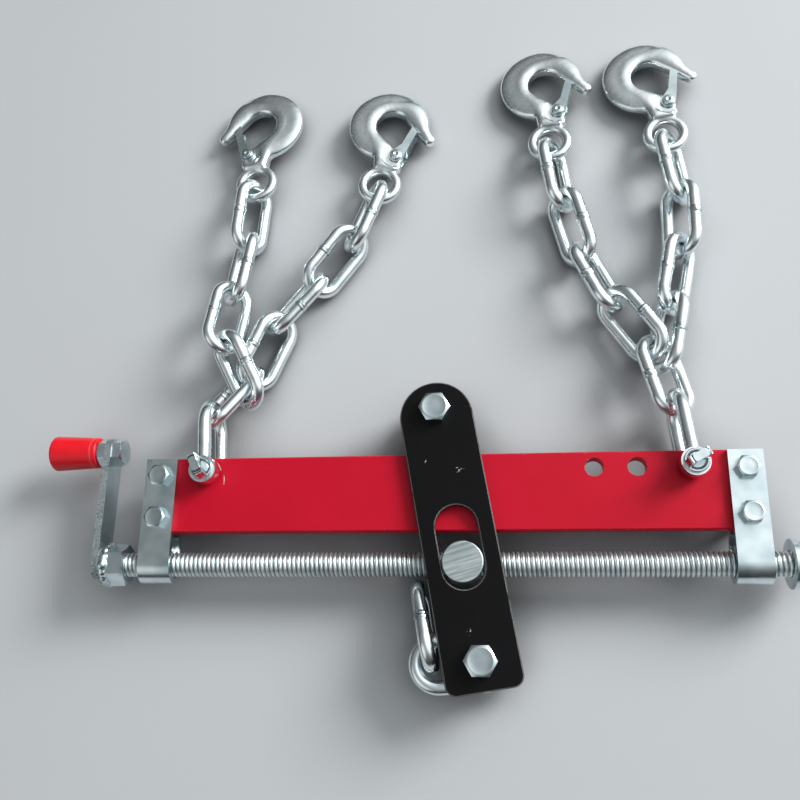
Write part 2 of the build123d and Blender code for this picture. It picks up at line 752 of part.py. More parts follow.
# Chains: a shackle on the bar, a first link, two legs of links and a latched hook on each leg
wire_sizes = (chain_wire, chain_pitch, chain_width)
for chain, lay in chains.items():
    pin = Vector(lay["side"] * shackle_hole, hole_row, 0)
    pieces[chain + "_shackle"] = shackle(pin, lay["shackle"])
    pieces[chain + "_shackle_pin"] = shackle_pin(pin, lay["tab"])
    pivots[chain + "_shackle"] = (pin, Vector(0, 0, 1))
    bow_radius = (shackle_jaw + shackle_wire) / 2
    bow_angle = radians(lay["bow"])
    bow = lie(pin, lay["shackle"])
    bow_tangent = bow.x_dir * -sin(bow_angle) + bow.z_dir * cos(bow_angle)
    bow_point = bow.from_local_coords(
        (shackle_reach - bow_radius + bow_radius * cos(bow_angle), 0, bow_radius * sin(bow_angle))
    )
    first = hang_link(bow_point, shackle_wire, chain_wire, chain_pitch, lay["first"])
    pieces[chain + "_first_link"] = oval_link(first, *wire_sizes)
    pivots[chain + "_first_link"] = (bow_point, bow_tangent)
    for leg in ("inner", "outer"):
        round_end, back = lay[leg]["seat"]
        carrier = first
        for number, pose in enumerate(lay[leg]["links"], start=1):
            name = f"{chain}_{leg}_link_{number}"
            point = link_point(carrier, *wire_sizes, round_end, back)
            pivots[name] = (point, link_tangent(carrier, round_end))
            carrier = hang_link(point, chain_wire, chain_wire, chain_pitch, pose)
            pieces[name] = oval_link(carrier, *wire_sizes)
            round_end, back = 0.0, 0.0
        heading, slope, roll, slack = lay[leg]["hook"]
        point = link_point(carrier, *wire_sizes, 0.0)
        aim = lie(point, heading, slope, roll)
        eye = lie(point + aim.x_dir * (eye_inner / 2 - chain_wire / 2 - slack), heading, slope, roll)
        name = f"{chain}_{leg}_hook"
        pieces[name] = laid_along(hook_form, eye)
        pieces[name + "_latch"] = latch(eye)
        pieces[name + "_rivet"] = latch_rivet(eye)
        pivots[name] = (point, link_tangent(carrier, 0.0))
        pivots[name + "_latch"] = (hook_plane(eye).from_local_coords((*rivet_place, 0)), eye.z_dir)

# Stand everything on the floor, centred, and write each piece
boxes = [piece.part.bounding_box() for piece in pieces.values()]
low = [min(tuple(box.min)[axis] for box in boxes) for axis in range(3)]
high = [max(tuple(box.max)[axis] for box in boxes) for axis in range(3)]
to_origin = Location((-(low[0] + high[0]) / 2, -(low[1] + high[1]) / 2, -low[2]))
os.makedirs("parts", exist_ok=True)
for name, piece in pieces.items():
    piece.part.move(to_origin)
    piece.part.label = name
    export_step(piece.part, f"parts/{name}.step")
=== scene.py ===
import json
from math import cos, pi, radians, sin
import bpy
import numpy as np
from mathutils import Euler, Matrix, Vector


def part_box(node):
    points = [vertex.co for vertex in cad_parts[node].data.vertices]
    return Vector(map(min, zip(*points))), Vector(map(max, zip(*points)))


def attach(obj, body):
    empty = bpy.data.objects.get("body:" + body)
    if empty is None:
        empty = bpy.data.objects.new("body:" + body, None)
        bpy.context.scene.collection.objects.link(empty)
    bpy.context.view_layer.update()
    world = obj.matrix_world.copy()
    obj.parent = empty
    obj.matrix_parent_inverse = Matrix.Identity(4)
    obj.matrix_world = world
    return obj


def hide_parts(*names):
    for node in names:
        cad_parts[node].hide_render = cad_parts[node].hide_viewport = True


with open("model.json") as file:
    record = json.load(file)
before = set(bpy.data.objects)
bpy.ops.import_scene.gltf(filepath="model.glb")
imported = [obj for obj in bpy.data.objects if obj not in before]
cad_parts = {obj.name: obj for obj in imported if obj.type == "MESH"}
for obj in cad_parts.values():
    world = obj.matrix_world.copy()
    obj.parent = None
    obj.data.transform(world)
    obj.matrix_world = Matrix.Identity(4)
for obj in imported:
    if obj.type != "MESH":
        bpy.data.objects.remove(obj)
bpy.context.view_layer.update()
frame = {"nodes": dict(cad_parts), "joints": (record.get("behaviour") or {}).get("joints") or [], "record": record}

# Engine load leveler, dressed for the photograph. Metres, in the frame of the solids: X along the bar away
# from the crank, Y towards the hooks, Z up, the floor at Z = 0.

mm = 0.001
nodes = frame["nodes"]
joints = {joint["name"]: joint for joint in frame["joints"]}
mounts = {mount["name"]: mount for mount in frame["record"]["mounts"]}


def middle_of(node):
    """Middle of a node's box."""
    low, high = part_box(node)
    return (low + high) / 2


screw_middle = middle_of("leveling_screw")

# Camera, as fitted to the photograph's 800 x 800 pixels: from the bar's middle and the screw's axis
camera_place = (
    middle_of("load_bar").x + 47.6 * mm,
    screw_middle.y - 67.4 * mm,
    screw_middle.z + 563.35 * mm,
)
camera_turn = (17.52, 7.51, 0.83)    # degrees
camera_focus = 875.6         # pixels
picture_width = 800          # pixels
sensor_width = 36.0          # the lens's own millimetres
camera_near = 10 * mm

# Light: one soft lamp under a ceiling, between two bright walls
lamp_spot = (2.05, 1.25, 1.45)
lamp_size = 1.2
lamp_power = 17.8
lamp_colour = (1.0, 0.99, 0.97)
lamp_spread = 75             # degrees, so that the floor near the lamp stays below white
sky_tint = (0.97, 1.0, 1.01, 1)
backdrop_level = 0.62

# Ceiling: heights where its glow starts and is full, and the glow there
ceiling_rise = (0.05, 0.85, 0.05, 0.50)

# Ceiling's fall on two sides: axis, where it is complete and where it begins, and the share of glow left
ceiling_fall = (("X", -0.45, 0.05, 0.50), ("Y", -0.75, -0.25, 0.30))

# Walls: direction, closeness to it where the glow starts and is full, and the full glow
walls = (
    ((0.75, 0.40, 0.55), 0.56, 0.97, 1.25),
    ((-0.62, -0.50, 0.55), 0.86, 0.99, 0.80),
)

# Floor: its reach, and how near the object and how much a contact shadow is painted darker on it
floor_reach = 6.0
contact_reach = 45 * mm
contact_share = 0.75

# Threads: diameter and pitch, and the form of their profile
screw_diameter = 16 * mm
screw_pitch = 3 * mm
screw_depth = 1.5 * mm
bracket_thread = (8 * mm, 1.25 * mm)
carriage_thread = (12 * mm, 1.75 * mm)
thread_stand = 0.35 * mm     # crest over the plain shank
thread_sink = 0.05 * mm      # root inside the plain shank
thread_run_out = 0.8 * mm    # plain tip of a bolt
thread_fullness = 0.55       # below 1 the crests are broad and the grooves narrow
thread_lead_in = 1.5         # turns by which the helix starts early
spare_turns = 3              # turns of the helix beyond the thread's own
# Shade painted into the threads' grooves: its level at the root, and how deep in the groove it stays
groove_shade_level = 0.60
groove_fall = 1.2            # above 1 the dark stays deep in the groove

# Bolt heads, across flats
bracket_flats = 13 * mm
carriage_flats = 18 * mm
grip_flats = 17 * mm

# Welds on the chain, in millimetres: along the wire from the middle, over the wire's radius, painted shade
chain_wire = 9 * mm
seam_profile = (
    (-2.8, -0.10, 0.0),
    (-2.4, 0.06, 0.3),
    (-2.1, 0.12, 0.6),
    (-1.7, 0.32, 0.1),
    (-0.9, 0.42, 0.0),
    (-0.3, 0.24, 0.15),
    (0.3, 0.24, 0.15),
    (0.9, 0.42, 0.0),
    (1.7, 0.32, 0.1),
    (2.1, 0.12, 0.6),
    (2.4, 0.06, 0.3),
    (2.8, -0.10, 0.0),
)

# Weld on the crank: lumps in a ring round the screw
weld_lumps = 15
weld_ring = 11.6 * mm
lump_radius = 3.5 * mm
lump_vary = 0.4 * mm
lump_stand = 0.4 * mm        # middle of a lump over the arm's face

# Skins: mesh size, share by which a point is drawn in each round, and rounds
shell_step = 0.6 * mm
draw_share = 0.5
hook_rounds = 8
dome_rounds = 220
weld_rounds = 16
eye_kept = (20 * mm, 30 * mm)        # about the eye the hook keeps its form, then is domed
rivet_kept = (7 * mm, 13 * mm)

# Points round a circle or a profile
round_steps = 48
small_round_steps = 40
lump_steps = 18
lump_rings = 10
profile_steps = 10

# Edges: their rounds, and the match of rounded and true normal on a flat and on an edge
edge_round = 0.5 * mm
edge_angle = 35              # degrees between faces, over which an edge is rounded
smooth_angle = 60            # degrees between faces, under which a new piece looks smooth
bar_edge = 0.6 * mm
plate_edge = 0.5 * mm
# Reach of the plates' edge wear and painted edge highlight
plate_rub_and_highlight = 0.8 * mm
cut_edge = 0.6 * mm
# Width of the painted highlight on the trunnion's rim
cut_rim = 0.7 * mm
flat_match = 0.995
edge_match = 0.80

# Rubbed strokes on the bar, from the left shackle's pin: radius, start and end in radians
rub_centre = Vector((-10.0, -6.0, 0.0)) * mm
rub_strokes = ((20.2 * mm, 0.35, 0.72), (21.4 * mm, -0.12, 0.22))
rub_core = 0.1 * mm
rub_half = 0.45 * mm
rub_fade = 0.1               # radians at each end of a stroke

# White specks on the plate, in millimetres from the trunnion
plate_specks = ((-23.2, 64.4), (-2.6, 58.1), (0.7, 60.0), (4.2, -42.2))
speck_reach = 2.4 * mm

# Rings turned into the shackle pins' collars and moulded into the grip: place, core, half width and depth
pin_ring = 5.6 * mm
pin_ring_core = 0.25 * mm
pin_ring_half = 0.8 * mm
pin_ring_depth = 0.5 * mm
grip_ring = 3.6 * mm         # from the inner end
grip_ring_core = 0.1 * mm
grip_ring_half = 1.1 * mm
grip_ring_depth = 0.15 * mm

# Colours
red_paint = (0.50, 0.004, 0.022, 1)
red_paint_deep = (0.46, 0.004, 0.019, 1)
# Lighter red for scuffs, and for the highlight painted along the bar's edges
red_paint_scuff_and_highlight = (0.72, 0.16, 0.20, 1)
red_plastic = (0.72, 0.008, 0.018, 1)
red_plastic_deep = (0.66, 0.007, 0.015, 1)
# Light red for the highlight painted on the grip's ring
red_plastic_ring_highlight = (0.9, 0.2, 0.2, 1)
black_paint = (0.004, 0.004, 0.0045, 1)
# Pale grey for wear, scratches and specks on the plates, and for their painted edge highlight
worn_paint_and_highlight = (0.80, 0.81, 0.81, 1)
scratch_white = (0.75, 0.72, 0.72, 1)
zinc_bright = (0.92, 0.97, 0.98, 1)
zinc_light = (0.74, 0.83, 0.855, 1)
zinc_grey = (0.53, 0.64, 0.67, 1)
# Painted shade for thread grooves, weld seam lines and the pins' turned rings
zinc_painted_shade = (0.05, 0.052, 0.056, 1)
bright_zinc = (zinc_bright, zinc_light)
plain_zinc = (zinc_light, zinc_grey)
cut_dark = (0.40, 0.46, 0.48, 1)
cut_light = (0.58, 0.65, 0.67, 1)
# Near white for the highlight painted on the trunnion's rim
cut_highlight = (0.95, 0.97, 0.98, 1)
torn_dark = (0.14, 0.17, 0.18, 1)
floor_grey = (0.475, 0.495, 0.515, 1)
floor_light = (0.48925, 0.50985, 0.53045, 1)
# Dark grey of the contact shadow painted on the floor
contact_shadow_grey = (0.05, 0.048, 0.045, 1)


# Shader helpers
def feed(tree, socket, value):
    """Link a socket into an input, or set the input to a plain value."""
    if isinstance(value, bpy.types.NodeSocket):
        tree.links.new(value, socket)
    else:
        socket.default_value = value


def add(tree, kind, settings=None, **inputs):
    """New shader node with its settings and its inputs by name."""
    node = tree.nodes.new(kind)
    for key, value in (settings or {}).items():
        setattr(node, key, value)
    for key, value in inputs.items():
        feed(tree, node.inputs[key.replace("_", " ")], value)
    return node


def new_material(name, **plain):
    """Material with the plain values of its shader by name: the material, its tree and the shader."""
    made = bpy.data.materials.new(name)
    made.use_nodes = True
    tree = made.node_tree
    shader = tree.nodes["Principled BSDF"]
    for key, value in plain.items():
        shader.inputs[key.replace("_", " ")].default_value = value
    return made, tree, shader


def dress(tree, shader, colour, roughness, normal):
    """Colour, roughness and normal of a shader."""
    feed(tree, shader.inputs["Base Color"], colour)
    feed(tree, shader.inputs["Roughness"], roughness)
    feed(tree, shader.inputs["Normal"], normal)


def calc(tree, operation, first, second=0.0):
    """One arithmetic node."""
    node = add(tree, "ShaderNodeMath", {"operation": operation})
    feed(tree, node.inputs[0], first)
    feed(tree, node.inputs[1], second)
    return node.outputs[0]


def times(tree, first, second):
    """Product of two values."""
    return calc(tree, "MULTIPLY", first, second)


def dot(tree, first, second):
    """Product of two directions: the cosine between them."""
    node = add(tree, "ShaderNodeVectorMath", {"operation": "DOT_PRODUCT"})
    feed(tree, node.inputs[0], first)
    feed(tree, node.inputs[1], second)
    return node.outputs["Value"]


def remap(tree, value, low, high, to_low=0.0, to_high=1.0):
    """A value's stretch from low to high, spread over another stretch and held there."""
    node = add(tree, "ShaderNodeMapRange", Value=value)
    for key, number in (("From Min", low), ("From Max", high), ("To Min", to_low), ("To Max", to_high)):
        node.inputs[key].default_value = number
    return node.outputs["Result"]


def mix(tree, share, first, second):
    """Colour between two colours, through the sockets that a mix node has for colours."""
    node = add(tree, "ShaderNodeMix", {"data_type": "RGBA"})
    for socket, value in zip((0, 6, 7), (share, first, second)):
        feed(tree, node.inputs[socket], value)
    return node.outputs[2]


def own_place(tree):
    """Coordinates in the piece's own frame."""
    return add(tree, "ShaderNodeTexCoord").outputs["Object"]


def own_parts(tree):
    """The three coordinates in the piece's own frame, by name."""
    return add(tree, "ShaderNodeSeparateXYZ", Vector=own_place(tree)).outputs


def true_normal(tree):
    """Direction of the face, before any bump."""
    return add(tree, "ShaderNodeNewGeometry").outputs["True Normal"]


def noise(tree, scale, detail=3.0, rough=0.5, stretch=(1, 1, 1), turn=0.0):
    """Noise with about that many bumps a metre, turned about Z and stretched along the axes."""
    turned = add(tree, "ShaderNodeMapping", Vector=own_place(tree), Rotation=(0, 0, turn))
    stretched = add(tree, "ShaderNodeMapping", Vector=turned.outputs["Vector"], Scale=stretch)
    place = stretched.outputs["Vector"]
    made = add(tree, "ShaderNodeTexNoise", Vector=place, Scale=scale, Detail=detail, Roughness=rough)
    return made.outputs["Fac"]


def bump(tree, height, distance, strength=1.0, normal=None):
    """Normal bent by a height, over an earlier normal where there is one."""
    node = add(tree, "ShaderNodeBump", Height=height, Distance=distance, Strength=strength)
    if normal:
        tree.links.new(normal, node.inputs["Normal"])
    return node.outputs["Normal"]


def rounded(tree, radius):
    """Normal that rounds the sharp edges of a piece."""
    return add(tree, "ShaderNodeBevel", {"samples": 8}, Radius=radius).outputs["Normal"]


def edge_share(tree, radius):
    """1 on a sharp edge, falling to 0 at that radius from it."""
    match = dot(tree, rounded(tree, radius), true_normal(tree))
    return remap(tree, match, flat_match, edge_match)


def facing_x(tree):
    """1 on faces square to the screw, 0 on the others."""
    ahead = add(tree, "ShaderNodeSeparateXYZ", Vector=true_normal(tree)).outputs["X"]
    return remap(tree, calc(tree, "ABSOLUTE", ahead), 0.6, 0.8)


def from_spot(tree, spot):
    """Offset from a spot, in the plan: across, along and the distance."""
    parts = own_parts(tree)
    across = calc(tree, "SUBTRACT", parts["X"], spot[0])
    along = calc(tree, "SUBTRACT", parts["Y"], spot[1])
    squares = calc(tree, "ADD", times(tree, across, across), times(tree, along, along))
    return across, along, calc(tree, "SQRT", squares)


def band(tree, value, place, core, half):
    """1 where a value lies within the core about a place, falling to 0 at half the band's width."""
    off = calc(tree, "ABSOLUTE", calc(tree, "SUBTRACT", value, place))
    return remap(tree, off, half, core)


def stroke(tree, centre, radius, start, end):
    """1 on an arc about a centre, between two angles."""
    across, along, distance = from_spot(tree, centre)
    angle = calc(tree, "ARCTAN2", along, across)
    begun = remap(tree, angle, start, start + rub_fade)
    not_ended = remap(tree, angle, end, end - rub_fade)
    return times(tree, band(tree, distance, radius, rub_core, rub_half), times(tree, begun, not_ended))


# Materials
def plated(name, gloss, dull, wave, depth, colours=plain_zinc):
    """Zinc plating: cloudy colour, fine scratches and a skin with shallow waves; shade is painted dark where the
    points carry it.
    """
    made, tree, shader = new_material(name, Metallic=1.0)
    cloud = noise(tree, 70, detail=1)
    streak = noise(tree, 120, detail=2, stretch=(1, 4, 1))
    painted_shade = add(tree, "ShaderNodeAttribute", {"attribute_name": "painted_shade"}).outputs["Fac"]
    colour = mix(tree, remap(tree, cloud, 0.38, 0.66), *colours)
    # Painted shade: darkened where the piece's points carry it, in thread grooves and at weld seams
    colour = mix(tree, times(tree, painted_shade, 0.92), colour, zinc_painted_shade)
    roughness = remap(tree, streak, 0.35, 0.65, gloss, dull)
    wavy = bump(tree, noise(tree, wave, detail=2, rough=0.4), depth)
    dress(tree, shader, colour, roughness, wavy)
    return made


def pin_steel(node):
    """Plated shackle pin with a ring turned into its collar, shade painted dark in the ring."""
    made = plated(node + "_steel", gloss=0.18, dull=0.28, wave=140, depth=0.04 * mm)
    tree = made.node_tree
    shader = tree.nodes["Principled BSDF"]
    distance = from_spot(tree, joints[node.replace("_pin", "_swing")]["pos_m"])[2]
    ring = band(tree, distance, pin_ring, pin_ring_core, pin_ring_half)
    colour = shader.inputs["Base Color"].links[0].from_socket
    normal = shader.inputs["Normal"].links[0].from_socket
    # Painted shade: the turned ring is darkened
    feed(tree, shader.inputs["Base Color"], mix(tree, times(tree, ring, 0.8), colour, zinc_painted_shade))
    feed(tree, shader.inputs["Normal"], bump(tree, ring, -pin_ring_depth, normal=normal))
    return made


def forged():
    """Zinc plating on a forged skin: soft waves under a fine grain."""
    made, tree, shader = new_material("forged_hook", Metallic=1.0)
    cloud = noise(tree, 55, detail=4)
    grain = noise(tree, 1500, detail=2)
    colour = mix(tree, remap(tree, cloud, 0.35, 0.68), *bright_zinc)
    roughness = remap(tree, grain, 0.3, 0.7, 0.17, 0.28)
    wavy = bump(tree, noise(tree, 170, detail=2, rough=0.4), 0.12 * mm)
    dress(tree, shader, colour, roughness, bump(tree, grain, 0.02 * mm, normal=wavy))
    return made


def bar_coat():
    """Crimson powder coat: orange peel, faint clouds, scuffs, a highlight painted light along the edges, and
    strokes rubbed by a shackle.
    """
    made, tree, shader = new_material("bar_coat", Specular_IOR_Level=0.15)
    cloud = noise(tree, 25)
    scuff = noise(tree, 140, detail=5, rough=0.65, stretch=(0.15, 1.6, 1))
    edge = edge_share(tree, bar_edge)
    chip = times(tree, edge, remap(tree, noise(tree, 420, detail=4), 0.62, 0.68))
    colour = mix(tree, remap(tree, cloud, 0.3, 0.7), red_paint, red_paint_deep)
    colour = mix(tree, times(tree, remap(tree, scuff, 0.68, 0.78), 0.12), colour, red_paint_scuff_and_highlight)
    # Painted highlight: every edge is lightened
    colour = mix(tree, times(tree, edge, 0.35), colour, red_paint_scuff_and_highlight)
    colour = mix(tree, times(tree, chip, 0.8), colour, scratch_white)
    rub_spot = middle_of("left_shackle_pin") + rub_centre
    broken = remap(tree, noise(tree, 900), 0.36, 0.46)
    for radius, start, end in rub_strokes:
        rubbed = times(tree, stroke(tree, rub_spot, radius, start, end), broken)
        colour = mix(tree, times(tree, rubbed, 0.7), colour, scratch_white)
    roughness = remap(tree, scuff, 0.3, 0.8, 0.38, 0.54)
    peel = bump(tree, noise(tree, 1100, detail=2), 0.03 * mm, 0.5, rounded(tree, bar_edge))
    dress(tree, shader, colour, roughness, peel)
    return made


def plate_coat():
    """Black paint, rubbed through to grey along the edges, where a highlight is also painted, with white specks
    and faint scratches.
    """
    made, tree, shader = new_material("plate_coat", Specular_IOR_Level=0.12)
    # Edge wear and a painted edge highlight, lightened towards grey
    edge_rub_and_highlight = times(tree, edge_share(tree, plate_rub_and_highlight), remap(tree, noise(tree, 90, detail=4), 0.28, 0.42))
    lengthways = noise(tree, 320, detail=5, rough=0.7, stretch=(1.3, 0.07, 1))
    crossways = noise(tree, 280, detail=5, rough=0.7, stretch=(0.06, 1.2, 1))
    lines = calc(tree, "MAXIMUM", remap(tree, lengthways, 0.68, 0.76), remap(tree, crossways, 0.70, 0.78))
    scratch = times(tree, lines, remap(tree, noise(tree, 30, detail=2), 0.5, 0.7))
    worn_and_highlight = calc(tree, "MAXIMUM", times(tree, scratch, 0.10), times(tree, edge_rub_and_highlight, 0.9))
    crumb = remap(tree, noise(tree, 650), 0.60, 0.66)
    trunnion = middle_of("trunnion_nut")
    for across, along in plate_specks:
        distance = from_spot(tree, trunnion + Vector((across, along, 0)) * mm)[2]
        speck = times(tree, crumb, remap(tree, distance, speck_reach, speck_reach / 2))
        worn_and_highlight = calc(tree, "MAXIMUM", worn_and_highlight, speck)
    roughness = remap(tree, noise(tree, 60, detail=4), 0.3, 0.7, 0.30, 0.42)
    peel = bump(tree, noise(tree, 700, detail=2), 0.03 * mm, 0.4, rounded(tree, plate_edge))
    dress(tree, shader, mix(tree, worn_and_highlight, black_paint, worn_paint_and_highlight), roughness, peel)
    return made


def grip_skin():
    """Glossy moulded plastic with a shallow ring near the inner end, painted lighter as a highlight."""
    made, tree, shader = new_material("grip_skin", Specular_IOR_Level=0.35)
    ring_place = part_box("grip")[1].x - grip_ring
    ring = band(tree, own_parts(tree)["X"], ring_place, grip_ring_core, grip_ring_half)
    colour = mix(tree, remap(tree, noise(tree, 120), 0.3, 0.7), red_plastic, red_plastic_deep)
    # Painted highlight: the ring is lightened
    colour = mix(tree, times(tree, ring, 0.25), colour, red_plastic_ring_highlight)
    roughness = remap(tree, noise(tree, 600, detail=2), 0.3, 0.7, 0.28, 0.38)
    moulded = bump(tree, noise(tree, 1500, detail=2), 0.02 * mm, 0.6)
    dress(tree, shader, colour, roughness, bump(tree, ring, -grip_ring_depth, normal=moulded))
    return made


def turned_face():
    """Saw-cut steel face: slanting streaks and a highlight painted bright on the rim."""
    made, tree, shader = new_material("turned_face", Metallic=1.0)
    streak = noise(tree, 700, detail=4, rough=0.6, stretch=(0.05, 1.0, 0.3), turn=radians(-17))
    shade = calc(tree, "ADD", times(tree, streak, 0.75), times(tree, noise(tree, 90), 0.25))
    colour = mix(tree, remap(tree, shade, 0.36, 0.62), cut_dark, cut_light)
    # Painted highlight: the rim is brightened
    colour = mix(tree, edge_share(tree, cut_rim), colour, cut_highlight)
    roughness = remap(tree, streak, 0.3, 0.7, 0.30, 0.50)
    dress(tree, shader, colour, roughness, bump(tree, streak, 0.05 * mm, 0.8, rounded(tree, cut_edge)))
    return made


def sheared_plate():
    """Crank arm: smooth rolled faces, and edges left rough and speckled by the shear."""
    made, tree, shader = new_material("sheared_plate", Metallic=1.0)
    smooth = facing_x(tree)
    speckle = remap(tree, noise(tree, 1500, rough=0.6), 0.40, 0.60)
    rolled = mix(tree, remap(tree, noise(tree, 60, detail=4), 0.35, 0.65), *plain_zinc)
    torn = mix(tree, speckle, torn_dark, cut_light)
    roughness = remap(tree, smooth, 0.0, 1.0, 0.46, 0.27)
    depth = remap(tree, smooth, 0.0, 1.0, 1.0, 0.04)
    dress(tree, shader, mix(tree, smooth, torn, rolled), roughness, bump(tree, speckle, 0.10 * mm, depth))
    return made


def floor_coat():
    """Plain pale floor with a barely uneven skin, and a contact shadow painted darker where the object closes it
    in.
    """
    made, tree, shader = new_material("floor_coat", Roughness=0.8, Specular_IOR_Level=0.05)
    plain = mix(tree, noise(tree, 6), floor_grey, floor_light)
    occlusion = add(tree, "ShaderNodeAmbientOcclusion", {"samples": 12}, Distance=contact_reach)
    # Painted contact shadow: the floor darkens where the object closes it in
    painted_contact_shadow = remap(tree, occlusion.outputs["AO"], 0.85, 0.30, 0.0, contact_share)
    feed(tree, shader.inputs["Base Color"], mix(tree, painted_contact_shadow, plain, contact_shadow_grey))
    return made


finishes = {
    "bar_paint": bar_coat(),
    "plate_paint": plate_coat(),
    "grip_plastic": grip_skin(),
    "plated_steel": plated("plated_steel", gloss=0.20, dull=0.27, wave=60, depth=0.03 * mm),
    "plated_chain": plated(
        "plated_chain", gloss=0.17, dull=0.26, wave=140, depth=0.08 * mm, colours=bright_zinc
    ),
    "forged_hook": forged(),
    "latch_steel": plated("latch_steel", gloss=0.20, dull=0.28, wave=120, depth=0.02 * mm),
}
thread_steel = plated(
    "thread_steel", gloss=0.34, dull=0.42, wave=140, depth=0.02 * mm, colours=bright_zinc
)
weld_steel = plated("weld_steel", gloss=0.16, dull=0.28, wave=420, depth=0.15 * mm)


# Solids in their finish
def ease_edges(node):
    """Small round on every sharp edge of a solid."""
    edge = nodes[node].modifiers.new("edge", "BEVEL")
    edge.width = edge_round
    edge.segments = 2
    edge.limit_method = "ANGLE"
    edge.angle_limit = radians(edge_angle)
    edge.harden_normals = True


for part in frame["record"]["subparts"]:
    mesh = nodes[part["node"]].data
    mesh.materials.clear()
    mesh.materials.append(finishes[part["material_slot"]])
    if part["material_slot"] in ("plated_steel", "latch_steel"):
        ease_edges(part["node"])
nodes["crank_arm"].data.materials[0] = sheared_plate()
nodes["trunnion_nut"].data.materials[0] = turned_face()
for node in ("left_shackle_pin", "right_shackle_pin"):
    nodes[node].data.materials[0] = pin_steel(node)


# Pieces
def new_object(name, data):
    """Object in the scene that holds a mesh, a lamp or a camera."""
    made = bpy.data.objects.new(name, data)
    bpy.context.scene.collection.objects.link(made)
    return made


def new_piece(name, points, faces, finish, body, painted_shades=None):
    """Smooth mesh piece that rides on a body, with the painted shade of its points where they have one."""
    mesh = bpy.data.meshes.new(name)
    mesh.from_pydata([tuple(point) for point in points], [], faces)
    mesh.update()
    mesh.shade_smooth()
    mesh.set_sharp_from_angle(angle=radians(smooth_angle))
    mesh.materials.append(finish)
    if painted_shades:
        shade = mesh.attributes.new("painted_shade", "FLOAT", "POINT")
        shade.data.foreach_set("value", painted_shades)
    piece = new_object(name, mesh)
    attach(piece, body)
    return piece


def cross_axes(axis):
    """Two directions square to an axis and to each other, for a right-hand turn about it."""
    axis = Vector(axis).normalized()
    first = axis.orthogonal().normalized()
    return first, axis.cross(first)


def spoke(first, second, step, steps):
    """Direction of one of the even steps round a circle that starts at first and turns towards second."""
    angle = 2 * pi * step / steps
    return first * cos(angle) + second * sin(angle)


def ring_faces(rings, around):
    """Faces between rings of points that follow each other."""
    faces = []
    for ring in range(rings - 1):
        for step in range(around):
            here = ring * around + step
            beside = ring * around + (step + 1) % around
            faces.append((here, beside, beside + around, here + around))
    return faces


def lathe(centre, axis, profile, around):
    """Points and faces of a profile of (along, radius) turned about an axis."""
    first, second = cross_axes(axis)
    points = []
    for along, radius in profile:
        for step in range(around):
            points.append(centre + axis * along + spoke(first, second, step, around) * radius)
    return points, ring_faces(len(profile), around)


# Threads of the screw and of the bolt tips
def thread(name, start, end, root, crest, pitch, body):
    """Right-hand round thread from start to end, fading out at both ends, shade painted dark in its grooves."""
    start = Vector(start)
    axis = Vector(end) - start
    length = axis.length
    axis.normalize()
    first, second = cross_axes(axis)
    turns = int(length / pitch) + spare_turns
    points = []
    reached = []
    painted_shades = []
    for step in range(turns * round_steps):
        out = spoke(first, second, step, round_steps)
        for place_in in range(profile_steps):
            ahead = place_in / profile_steps
            along = min(max((step / round_steps + ahead - thread_lead_in) * pitch, 0.0), length)
            rise = (0.5 - 0.5 * cos(2 * pi * ahead)) ** thread_fullness
            fade = min(1.0, along / pitch, (length - along) / pitch)
            reached.append(along)
            # Painted shade, darkest at the root of the groove
            painted_shades.append(groove_shade_level * (1 - rise) ** groove_fall)
            points.append(start + axis * along + out * (root + (crest - root) * rise * fade))
    faces = []
    for step in range((turns - 1) * round_steps - 1):
        for place_in in range(profile_steps):
            here = step * profile_steps + place_in
            beside = here + 1 if place_in + 1 < profile_steps else (step + round_steps) * profile_steps
            face = (here, beside, beside + profile_steps, here + profile_steps)
            if min(reached[corner] for corner in face) < max(reached[corner] for corner in face):
                faces.append(face)
    for cap in (start, start + axis * length):
        middle = len(points)
        rim = [middle + 1 + step for step in range(round_steps)]
        points.append(cap)
        points += [cap + spoke(first, second, step, round_steps) * root for step in range(round_steps)]
        painted_shades += [0.0] * (round_steps + 1)
        faces += [(middle, here, beside) for here, beside in zip(rim, rim[1:] + rim[:1])]
    return new_piece(name, points, faces, thread_steel, body, painted_shades)


def tip_thread(name, node, nut, size, body, spot):
    """Thread on the stretch of a bolt that stands out below its nut."""
    diameter, pitch = size
    shank = diameter / 2
    tip = (spot[0], spot[1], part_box(node)[0].z + thread_run_out)
    nut_face = (spot[0], spot[1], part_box(nut)[0].z)
    thread(name, tip, nut_face, shank - thread_sink, shank + thread_stand, pitch, body)


def bracket_spots():
    """Places of the four bracket bolts in the plan, from the box round their heads."""
    low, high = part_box("bracket_bolts")
    half_corners = bracket_flats / 2 / cos(pi / 6)
    half_flats = bracket_flats / 2
    columns = (low.x + half_corners, high.x - half_corners)
    rows = (low.y + half_flats, high.y - half_flats)
    return [(x, y) for x in columns for y in rows]


screw_low, screw_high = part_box("leveling_screw")
screw = thread(
    "leveling_screw_thread",
    (screw_low.x, screw_middle.y, screw_middle.z),
    (screw_high.x, screw_middle.y, screw_middle.z),
    screw_diameter / 2 - screw_depth,
    screw_diameter / 2,
    screw_pitch,
    "crank",
)
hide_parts("leveling_screw")
for node in ("bearing", "lift"):
    spot = middle_of(node + "_bolt")
    tip_thread(node + "_bolt_thread", node + "_bolt", node + "_nut", carriage_thread, "carriage", spot)
for number, spot in enumerate(bracket_spots(), start=1):
    name = f"bracket_bolt_thread_{number}"
    tip_thread(name, "bracket_bolts", "bracket_nuts", bracket_thread, "bar", spot)


